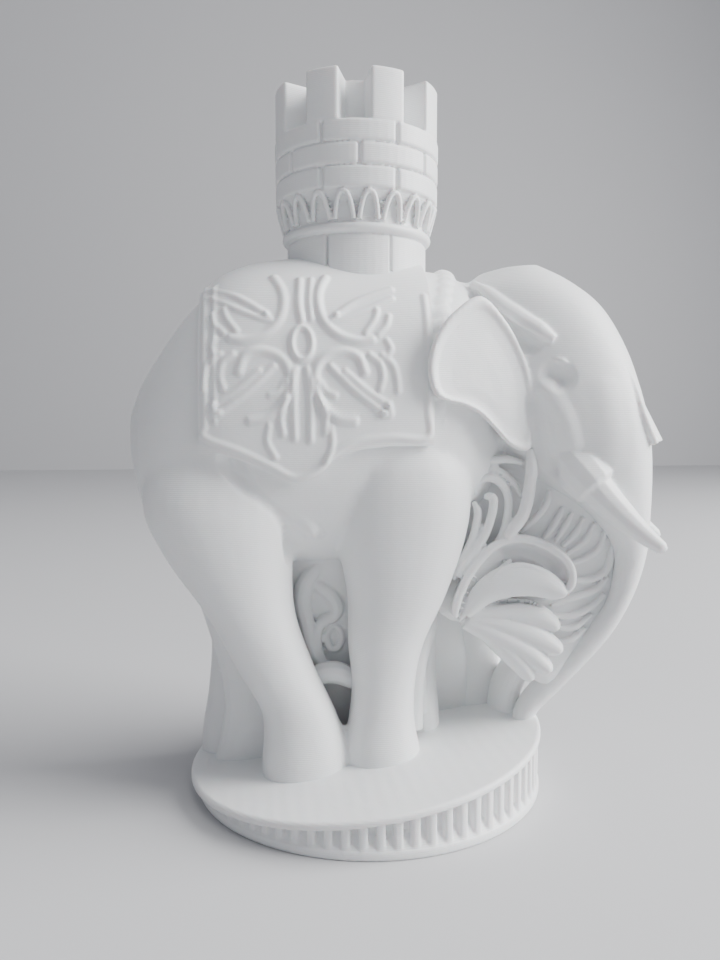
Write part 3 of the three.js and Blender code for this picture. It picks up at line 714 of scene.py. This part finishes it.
LOBES = [
    ([(10.4, 20.6, 1.2, .5), (12.6, 23.4, 2, 1.3), (15.3, 24.7, 2.3, 1.75), (18, 24.6, 2.3, 1.6),
      (20.4, 23.6, 2.1, 1), (21.4, 23.1, 1.8, .3)], .7),
    ([(11, 20.6, .9, .4), (14.6, 20.9, 1, 1.1), (17.8, 20.5, 1, 1.4), (20.3, 19.4, .8, .8), (20.9, 18.7, .6, .3)], .8),
    ([(10.8, 20, .8, .4), (14.2, 19.4, 1.1, 1), (18, 18, 1.2, 1.3), (20.7, 16.6, 1, .8), (21.2, 16.1, .8, .3)], .8),
    ([(10.6, 19.7, .8, .4), (14, 18.2, 1.2, .9), (17.4, 16.2, 1.3, 1.2), (19.6, 14.4, 1.1, .7), (20, 13.9, .9, .3)], .8),
    ([(10.4, 19.4, .8, .3), (13.4, 17.9, 1.1, .7), (16, 15.6, 1.2, .95), (17.7, 13.5, 1, .6), (18, 12.9, .8, .3)], .7),
]

# %% The leaves between the chest and the trunk
leaves = []
for side in (-1, 1):
    leaves.append(strands("drawn_leaves", drawn([
        *VOLUTES, *RIBS, (RIM, 2.3, .52), ([(12.2, 23.6), (13.5, 25.5), (14.7, 26.2), (16.5, 26.5), (18.6, 25.7),
                                            (21, 24.1)], 2.7, .3),
        ([(9.5, 19.9), (11.2, 21.9), (12.5, 23.4), (14, 25.6), (15.4, 27)], 1.9, .38),
    ], side)))
    leaves += [lobe("leaf_lobe", spine, bulge, side=side) for spine, bulge in LOBES]
big_leaf = plate("big_leaf", rounded([*RIM, *LIP], 3), [(.9, -1.2), (1, .2), (1, 1.3), (.94, 1.7), (.5, 1.3)],
                 lambda x, z: web_near(x))
web = plate("web", rounded(WEB, 3), [(1, -WEB_DEPTH), (1, -.3), (.93, 0)], lambda x, z: web_near(x))
leaves += [big_leaf, web]
print(len(leaves), "leaf parts")

# %% The leaves between the legs
CORES = [
    [(2.5, -3.4, 1.4, 7.6, 3.2), (9, -3.2, 1.4, 6.2, 2.7), (16, -3.2, 1.4, 5.8, 2.6), (30, -1, 1.2, 10.5, 4.6)],
    [(1.5, -13, 1.2, 5.6, 2.6), (10, -12.6, 1, 4.6, 2.2), (20, -14, 1, 5.6, 2.6), (30, -15, 1, 8, 4)],
    [(4, 6.6, 1.8, 2.6, 4.4), (12, 6.4, 1.6, 2.2, 3.9), (20, 6.2, 1, 2.4, 3.6), (30, 6.5, 1, 4, 4)],
    [(4.5, 11, 5.2, 4, 2), (14, 11, 5, 3.4, 1.6), (30, 10, 4.4, 4, 2.4)],
    [(5, 17.6, 2.4, 2, 4.2), (9, 17.8, 2.2, 1.7, 3.6), (14.5, 19.4, -.6, 1.6, 3)],
]
for rows in CORES:
    leaves.append(form("core", [(x, y, z, a, b, 0) for z, x, y, a, b in eased(rows, 9)], sides=20))
LEG_SCROLLS = [
    [(-4.3, 26.3, .5), (-5.6, 26.1, .8), (-6.9, 25, 1), (-7.8, 23.4, 1.1), (-8, 21.4, 1.05), (-7.6, 19.3, .95),
     (-7.1, 16.6, .85), (-6.2, 14.7, .8), (-5.4, 13.6, .7)],
    [(-7, 23.9, .5), (-5.9, 23.4, .9), (-4.6, 22.3, 1), (-4, 21, .95), (-4.4, 19.9, .8), (-5.4, 19.4, .7),
     (-6.2, 18.4, .7), (-6.4, 16.8, .65), (-6, 15.2, .6), (-5.2, 14, .5)],
    [(-4.3, 18.8, .4), (-5.1, 18, .45), (-5.1, 16.7, .45), (-4.3, 15.8, .45), (-3.5, 16.6, .45), (-3.5, 17.9, .45),
     (-4.3, 18.8, .4)],
]
gap_lines = []
for side in (-1, 1):
    for i, line in enumerate(LEG_SCROLLS):
        y = 1.4 + side * (3 if i < 2 else 2.7)
        gap_lines.append([(x if side < 0 else -2.6 - 1.5 * (x + 5), y, z, radius) for x, z, radius in line])
gap_lines += [
    [(-7.8, -3, 12.4, .8), (-6.4, -3.3, 13.4, 1.2), (-4.4, -3.5, 13.7, 1.3), (-2.8, -3.4, 13, 1.2),
     (-1.4, -3.2, 11.9, .8)],
    [(-12.5, 1.6, 11.5, 1.1), (-14.8, 1.4, 8.4, .8), (-16, 1.6, 4.4, .7), (-16, 1.8, 2.4, .9)],
    [(-17.8, 2.2, 13.4, .5), (-16.2, 1.4, 12, .6), (-14.2, .6, 9.8, .6), (-12.9, .2, 7.6, .6), (-12.3, 0, 5, .8)],
    [(-15.6, 1.4, 11, .4), (-15.7, 1.2, 9, .5), (-14.9, 1, 6.6, .5), (-14.4, .8, 4, .7)],
    [(6.6, -2.6, 21, .9), (6.6, -2.9, 18.6, 1.2), (5.9, -3, 16.2, 1.1), (5.2, -3.2, 13.4, 1.2), (5, -3.2, 10, 1.1),
     (4.8, -3.2, 6.6, 1.3)],
    [(7.2, -2, 18.4, .5), (6.8, -2.2, 16.6, .6), (6, -2.4, 14.4, .6), (6, -2.2, 11.6, .7), (6.2, -2, 8, .9)],
]
leaves.append(strands("leg_leaves", gap_lines, sides=10))
foliage = join("foliage", leaves)
fuse(foliage, 0.2, 1)
carve(foliage, [
    ([on_web(x, z, 1.2) for x, z in ((13.6, 21.5), (15.2, 22.1), (17, 22.25), (18.8, 21.9))], .7, -1.1, NEAR),
    ([on_web(x, z, 1.5) for x, z in ((15, 28), (17, 28.2), (19, 27.4), (20.6, 26))], 1, -.8, NEAR),
])
print("foliage", len(foliage.data.polygons), "faces")
finish_piece(foliage, smooth=60)

# %% [markdown]
# ## Saddle cloth
#
# The cloth follows the barrel, so its points are laid on the barrel's own section, a little outside it. It is
# a grid that runs from the hem on one side over the back to the hem on the other. The scrollwork is carved
# into the grid before Solidify gives the cloth its thickness.

# %% The cloth's grid
CLOTH_THICKNESS = 0.85
CLOTH_BACK = -19.2
CLOTH_FRONT = 5.3
CLOTH_HEM = [
    (-19.6, 40.2), (-15, 38.7), (-12, 37.3), (-9.4, 36), (-7, 36.8), (-5.5, 38.4), (-2.8, 39.7), (.6, 40.1), (5.3, 40.1),
]
BODY_AT = np.array(eased(BODY, 200))


def section(x):
    return [float(np.interp(x, BODY_AT[:, 0], BODY_AT[:, k])) for k in (1, 2, 3)]


def cloth_point(x, z, side, lift=CLOTH_THICKNESS):
    """A point on the cloth from its side view. side is -1 on the right and 1 on the left."""
    top, bottom, width = section(x)
    share = min(abs((z - (top + bottom) / 2) / ((top - bottom) / 2 + lift)), 0.999)
    return Vector((x, MID_Y + side * (width + lift) * (1 - share**BODY_SQUARE) ** (1 / BODY_SQUARE), z))


ALONG, AROUND = 150, 300
bpy.ops.mesh.primitive_grid_add(x_subdivisions=ALONG, y_subdivisions=AROUND, size=1)
cloth = bpy.context.object
cloth.name = "saddle_cloth"
hem_x, hem_z = zip(*CLOTH_HEM)
flat = np.empty(len(cloth.data.vertices) * 3)
cloth.data.vertices.foreach_get("co", flat)
flat = flat.reshape(-1, 3) + 0.5
columns = {}
for i, (u, v, _) in enumerate(flat):
    columns.setdefault(round(u * ALONG), []).append((v, i))
spots = np.zeros((len(flat), 3))
for column, members in columns.items():
    u = column / ALONG
    x = CLOTH_BACK + (CLOTH_FRONT - CLOTH_BACK) * u
    top, bottom, width = section(x)
    middle, reach, wide = (top + bottom) / 2, (top - bottom) / 2 + CLOTH_THICKNESS, width + CLOTH_THICKNESS
    low = float(np.interp(x, hem_x, hem_z))
    start = math.asin(math.copysign(min(abs((low - middle) / reach), 1) ** (BODY_SQUARE / 2), low - middle))
    for v, i in members:
        side = -1 if v < 0.5 else 1
        share = min(v, 1 - v) * 2
        angle = start + (math.pi / 2 - start) * share ** 1.15
        spots[i] = (
            x,
            MID_Y + side * wide * math.cos(angle) ** (2 / BODY_SQUARE) if math.cos(angle) > 0 else MID_Y,
            middle + reach * math.copysign(abs(math.sin(angle)) ** (2 / BODY_SQUARE), math.sin(angle)),
        )
cloth.data.vertices.foreach_set("co", spots.ravel())
cloth.data.update()
edit(cloth)
bpy.ops.mesh.normals_make_consistent(inside=False)
close_edit()
print("cloth grid", len(cloth.data.vertices), "points")

# %% [markdown]
# The scrollwork is four scrolls round a small oval, with a stem above and hanging petals below. The strokes
# are drawn once for the right-hand half and mirrored. A raised double border runs along the edges.

# %% The scrollwork
ORNAMENT = (-8.6, 50.6)
SCROLLS = [
    ([(5.3, -7.9), (3.6, -7.6), (2.2, -6.4), (1.3, -4.4), (1.5, -2.4), (2.6, -1.2), (4.4, -.8), (5.8, -1.4),
      (6.4, -2.9)], .62, .36),
    ([(2.9, -2.4), (5.4, -4.8), (8.4, -7.1)], .5, .3),
    ([(4.4, -2.9), (6.6, -4.8), (8.9, -6.3)], .5, .3),
    ([(8.4, -7.1), (9.1, -7.2), (8.9, -6.3)], .5, .3),
    ([(1.8, -3.9), (2.4, -4.9), (3.3, -5.3)], .45, .25),
    ([(7, -1.2), (8, -2), (8.3, -3.4), (8, -4.6)], .5, .3),
    ([(8.3, -1.2), (9.4, -2.2), (9.8, -3.6), (9.9, -4.8)], .5, .28),
    ([(2.7, 7.2), (1.9, 5.6), (1.8, 3.9), (2.4, 2.2), (3.8, .9), (5.8, .3), (7.2, .5)], .62, .36),
    ([(3.6, 3), (6, 4.6), (9.6, 6)], .5, .3),
    ([(3.6, 3), (3.2, 2.4), (4.2, 2.6), (6.6, 3.6), (9.6, 5)], .45, .26),
    ([(6.6, 1.2), (7.6, 2.6), (7.9, 3.6)], .45, .26),
    ([(7.9, 1), (8.8, 2), (9.1, 3)], .45, .26),
    ([(8.8, .4), (9.2, -.4), (9, -1)], .45, .24),
]
MIDDLE_STROKES = [
    ([(0, 2.4), (-.2, 4.2), (0, 6.9)], .55, .32),
    ([(1, 2.6), (.9, 4.6), (1.2, 7)], .45, .26),
    ([(-.7, -2.7), (-.9, -6), (-.8, -9.6)], .5, .3),
    ([(.5, -2.7), (.8, -6), (.8, -9.8)], .5, .3),
    ([(-1.6, -5.6), (-2.2, -7.6), (-2, -9.2)], .5, .28),
    ([(1.6, -5.6), (2.3, -7.4), (2.3, -9)], .5, .28),
    ([(2.9, -8.6), (3, -10.4), (2.4, -12)], .45, .22),
    ([(-3.4, -8.4), (-3.6, -10), (-2.8, -11.6)], .45, .22),
]
OVAL = [(1.02 * math.cos(a), 1.66 * math.sin(a)) for a in np.linspace(0, 2 * math.pi, 17)]


def ornament(side):
    def line(points, mirror=1):
        return [cloth_point(ORNAMENT[0] + a * mirror, ORNAMENT[1] + b, side) for a, b in points]

    facing = (0, side, 0)
    strokes = [(line(points), reach, height, facing) for points, reach, height in MIDDLE_STROKES]
    strokes.append((line(OVAL), .42, .34, facing))
    for mirror, strength in ((1, 1), (-1, .75)):
        for points, reach, height in SCROLLS:
            strokes.append((line(points, mirror), reach, height * strength, facing))
    hem = [cloth_point(x, z + 0.9, side) for x, z in CLOTH_HEM[1:-1]]
    left = [cloth_point(-18.5, z, side) for z in (57, 54, 50, 46, 42.4, 41)]
    right = [cloth_point(4.6, z, side) for z in (41, 44, 48, 52, 56)]
    strokes.append(([*left, *hem, *right], .5, .22, facing))
    inner = [cloth_point(-17.5, z, side) for z in (57, 54, 50, 46, 42.6)]
    strokes.append((inner, .4, .16, facing))
    return strokes


carve(cloth, ornament(-1) + ornament(1), sharp=1.4)
apply(cloth, "SOLIDIFY", thickness=1.3, offset=-1)
finish_piece(cloth, smooth=50)

# %% [markdown]
# ## Castle tower
#
# The wall is built as a mason would: a plain core, and round it curved blocks. A block is an upright
# rectangle that is spun about the tower's axis. One block of each kind is made and copied round.

# %% A curved block
TOWER = Vector((-1.35, 0.55, 0))
VIEW_SIDE = math.radians(262.3)


def drum(name, rings, sides=96):
    """A round form from (height, radius) rings, about the tower's axis."""
    return form(name, [(TOWER.x, TOWER.y, z, r, r, 0) for z, r in rings], sides=sides, square=2)


def block(name, inner, outer, low, high, middle, half, bevel=0.25, steps=8):
    """A block of the wall with rounded edges. Angles are in radians."""
    bpy.ops.mesh.primitive_plane_add(size=1)
    piece = bpy.context.object
    piece.name = name
    for v in piece.data.vertices:
        radius = inner if v.co.x < 0 else outer
        height = low if v.co.y < 0 else high
        angle = middle - half
        v.co = (TOWER.x + radius * math.cos(angle), TOWER.y + radius * math.sin(angle), height)
    edit(piece)
    bpy.ops.mesh.spin(steps=steps, angle=2 * half, center=(TOWER.x, TOWER.y, 0), axis=(0, 0, 1))
    bpy.ops.mesh.select_all(action="SELECT")
    bpy.ops.mesh.remove_doubles(threshold=1e-4)
    bpy.ops.mesh.normals_make_consistent(inside=False)
    close_edit()
    apply(piece, "BEVEL", width=bevel, segments=2, limit_method="ANGLE", angle_limit=math.radians(50))
    return piece


def ring_of(piece, copies):
    """Copies of a block round the tower, each with its own mesh."""
    made = [piece]
    for i in range(1, copies):
        copy = piece.copy()
        copy.data = piece.data.copy()
        bpy.context.collection.objects.link(copy)
        edit(copy)
        bpy.ops.transform.rotate(value=-2 * math.pi * i / copies, orient_axis="Z", center_override=TOWER)
        close_edit()
        made.append(copy)
    return made


# %% The wall: staves, string course, arcade, three courses and the merlons
parts = [drum("core", [(55, 7.5), (62.6, 7.5), (63.1, 8.1), (64.1, 8.1), (64.6, 8.05), (66.2, 8.3), (67.2, 8.95),
                       (74.4, 9.0)])]
parts += ring_of(block("stave", 6.5, 8.05, 54.5, 62.8, VIEW_SIDE, math.pi / 7 - 0.018, .12), 7)
bpy.ops.mesh.primitive_torus_add(location=(TOWER.x, TOWER.y, 63.5), major_radius=8.15, minor_radius=.48,
                                 major_segments=96, minor_segments=12)
parts.append(bpy.context.object)
COURSES = [67.3, 69.7, 72.1, 74.5]
for i in range(3):
    middle = VIEW_SIDE + (0 if i % 2 == 0 else math.pi / 7)
    outer = 9.36 + 0.04 * i
    parts += ring_of(
        block("course", 7.5, outer, COURSES[i] + .06, COURSES[i + 1] - .06, middle, math.pi / 7 - .017, .28), 7)
arches = []
for i in range(20):
    middle = VIEW_SIDE + 2 * math.pi * (i + .5) / 20
    line = []
    for k in np.linspace(-1, 1, 9):
        height = 67.0 - 2.7 * abs(k) ** 2.6
        angle = middle + k * 0.122
        radius = 8.35 + .75 * (height - 64.3) / 2.7
        line.append((TOWER.x + radius * math.cos(angle), TOWER.y + radius * math.sin(angle), height, .3))
    arches.append(line)
parts.append(strands("arcade", arches, sides=6))
merlon = block("merlon", 5.2, 9.4, 74.2, 79.85, VIEW_SIDE, math.radians(11.9), .35)
parts += ring_of(merlon, 8)
parts.append(drum("inner_ring", [(74, 5.9), (79.6, 5.9)], 64))
tower = join("castle_tower", parts)
fuse(tower, 0.17, 1)
print("tower", len(tower.data.polygons), "faces")
finish_piece(tower, smooth=50)

# %% [markdown]
# ## Reeded base
#
# A foot band, a belt of upright reeds and a thin plate whose top rises gently towards the trunk.

# %% The base
BASE_RADIUS = 20.3
REEDS = 72


def base_top(x):
    return 4.8 + 0.125 * x


foot = form("foot", [(0, 0, 0, BASE_RADIUS - .15, BASE_RADIUS - .15, 0), (0, 0, .2, BASE_RADIUS, BASE_RADIUS, 0),
                     (0, 0, .85, BASE_RADIUS, BASE_RADIUS, 0), (0, 0, 1.05, BASE_RADIUS - .2, BASE_RADIUS - .2, 0),
                     (0, 0, 2.5, 19.3, 19.3, 0), (0, 0, 6, 19.3, 19.3, 0)], sides=144, square=2)
for v in foot.data.vertices:
    if v.co.z > 5:
        v.co.z = base_top(v.co.x) - .4
bpy.ops.mesh.primitive_cube_add(size=1)
reed = bpy.context.object
for v in reed.data.vertices:
    v.co = (BASE_RADIUS - .75 + v.co.x * 1.2, v.co.y * .95, v.co.z * 6 + 3.6)
apply(reed, "BEVEL", width=.28, segments=3, limit_method="ANGLE")
reeds = [reed]
for i in range(1, REEDS):
    copy = reed.copy()
    copy.data = reed.data.copy()
    bpy.context.collection.objects.link(copy)
    edit(copy)
    bpy.ops.transform.rotate(value=-2 * math.pi * i / REEDS, orient_axis="Z", center_override=(0, 0, 0))
    close_edit()
    reeds.append(copy)
for copy in reeds:
    for v in copy.data.vertices:
        v.co.z = .7 + (v.co.z - .6) / 6 * (base_top(v.co.x) - .5 - .7)
PLATE_SHIFT = -0.35
rim = form("plate", [(PLATE_SHIFT, 0, 0, 20.5, 20.5, 0), (PLATE_SHIFT, 0, .1, 20.75, 20.75, 0),
                     (PLATE_SHIFT, 0, .6, 20.75, 20.75, 0), (PLATE_SHIFT, 0, .8, 20.5, 20.5, 0)],
           sides=144, square=2)
for v in rim.data.vertices:
    v.co.z += base_top(v.co.x) - .8
base = join("reeded_base", [*reeds, rim, foot])
fuse(base, 0.2, 1)
print("base", len(base.data.polygons), "faces")
finish_piece(base, smooth=50)

# %% [markdown]
# ## Floor, wall and light
#
# A pale table, a pale wall behind it, one large soft light from the right and a weak one from above.

# %% Floor and wall
def stage_sheet(name, place, size, turn, tone):
    bpy.ops.mesh.primitive_plane_add(size=1, location=place, rotation=turn)
    sheet = bpy.context.object
    sheet.name = name
    sheet.scale = (*size, 1)
    material = bpy.data.materials.new(name)
    material.use_nodes = True
    material.node_tree.nodes["Principled BSDF"].inputs["Base Color"].default_value = (*tone, 1)
    material.node_tree.nodes["Principled BSDF"].inputs["Roughness"].default_value = 0.6
    sheet.data.materials.append(material)
    return sheet


stage_sheet("table", (0, 0.1, 0), (3, 1.2), (0, 0, 0), (.55, .55, .56))
stage_sheet("wall", (0, 0.7, 0), (4, 3), (math.pi / 2, 0, 0), (.5, .5, .51))


# %% Lights
def soft_light(name, place, aim, size, power):
    bpy.ops.object.light_add(type="AREA", location=place)
    light = bpy.context.object
    light.name = name
    light.data.size = size
    light.data.energy = power
    light.rotation_euler = (Vector(aim) - Vector(place)).to_track_quat("-Z", "Y").to_euler()


soft_light("window", (.5, -.12, .3), (0, 0, .04), .4, 9)
soft_light("above", (.1, -.1, .7), (0, 0, .04), .4, 2)
world = bpy.data.worlds.new("room")
bpy.context.scene.world = world
world.use_nodes = True
world.node_tree.nodes["Background"].inputs["Color"].default_value = (.9, .92, 1, 1)
world.node_tree.nodes["Background"].inputs["Strength"].default_value = 0.4
print("lit")
